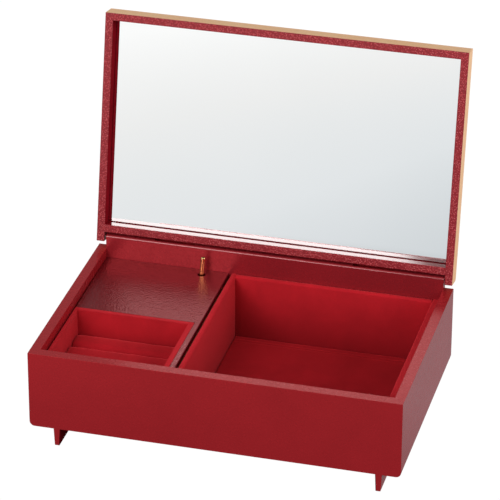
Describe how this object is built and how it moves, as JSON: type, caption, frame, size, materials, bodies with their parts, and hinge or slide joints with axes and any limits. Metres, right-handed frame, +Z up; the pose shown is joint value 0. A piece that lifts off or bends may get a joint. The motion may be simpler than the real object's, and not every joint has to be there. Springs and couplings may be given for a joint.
{
  "type": "musical jewellery case",
  "caption": "Leather-covered jewellery case with a mirrored lid, a velvet ring tray, a velvet compartment and a wind-up musical movement.",
  "frame": {"origin": "on the ground under the middle of the bounding box of the case with its lid open", "axes": "+Z up, the front of the case faces -Y, +X to the right seen from the front"},
  "size_m": [0.215, 0.1692, 0.1988],
  "materials": {
    "red_leather": "smooth satin red leather over wood board",
    "panel_leather": "smooth glossy dark red leather over wood board",
    "rail_leather": "pebble-grained red leather",
    "tan_leather": "natural tan leather",
    "velvet": "red velvet",
    "wood": "plain board",
    "brass": "polished brass",
    "steel": "brushed steel",
    "mirror": "silvered glass"
  },
  "bodies": {
    "case": {"front_panel": "red_leather", "left_side": "red_leather", "right_side": "red_leather", "rear_wall": "red_leather", "base_panel": "wood", "runner_left": "red_leather", "runner_right": "red_leather", "partition_wall": "wood", "cross_wall": "wood", "panel_cleats": "wood", "cover_panel": "panel_leather", "ring_tray": "velvet", "ring_roll_1": "velvet", "ring_roll_2": "velvet", "ring_roll_3": "velvet", "ring_roll_4": "velvet", "liner_left": "velvet", "liner_right": "velvet", "liner_back": "velvet", "liner_front": "velvet", "floor_pad": "velvet", "hinge_base_leaf_left": "brass", "hinge_base_leaf_right": "brass", "hinge_pin_left": "brass", "hinge_pin_right": "brass", "hinge_base_screws": "brass", "movement_bedplate": "steel", "comb": "steel", "comb_screws": "steel", "governor_bracket": "steel", "movement_screws": "steel"},
    "lid": {"lid_board": "wood", "lid_leather": "tan_leather", "lid_rail_front": "rail_leather", "lid_rail_rear": "rail_leather", "lid_rail_left": "rail_leather", "lid_rail_right": "rail_leather", "mirror_glass": "mirror", "hinge_lid_leaf_left": "brass", "hinge_lid_leaf_right": "brass", "hinge_lid_screws": "brass"},
    "stop_pin": {"stop_pin": "brass"},
    "spring_barrel": {"spring_barrel": "brass"},
    "music_cylinder": {"music_cylinder": "brass"},
    "governor": {"governor": "brass"},
    "winding_key": {"winding_arbor": "steel", "winding_key": "brass"}
  },
  "joints": [
    {"name": "lid_hinge", "type": "hinge", "parent": "case", "child": "lid", "pos_m": [0, 0.05014, 0.06205], "axis": [1, 0, 0], "range_deg": [0, 100.7]},
    {"name": "stop_pin_slide", "type": "slide", "parent": "case", "child": "stop_pin", "axis": [0.0924, 0, 0.9957], "range_m": [-0.0066, 0]},
    {"name": "cylinder_spin", "type": "hinge", "parent": "case", "child": "music_cylinder", "pos_m": [-0.0535, 0.01344, 0.033], "axis": [1, 0, 0], "continuous": true},
    {"name": "barrel_spin", "type": "hinge", "parent": "case", "child": "spring_barrel", "pos_m": [-0.0765, 0.01344, 0.02], "axis": [0, 0, 1], "continuous": true},
    {"name": "governor_spin", "type": "hinge", "parent": "case", "child": "governor", "pos_m": [-0.0388, 0.02264, 0.03], "axis": [0, 0, 1], "continuous": true},
    {"name": "key_turn", "type": "hinge", "parent": "case", "child": "winding_key", "pos_m": [-0.0765, 0.01344, 0.005], "axis": [0, 0, 1], "continuous": true}
  ],
  "couplings": [
    {"joint": "stop_pin_slide", "follows": "lid_hinge", "m_per_rad": -0.0036983},
    {"joint": "cylinder_spin", "follows": "barrel_spin", "ratio": 2},
    {"joint": "governor_spin", "follows": "barrel_spin", "ratio": 60}
  ]
}
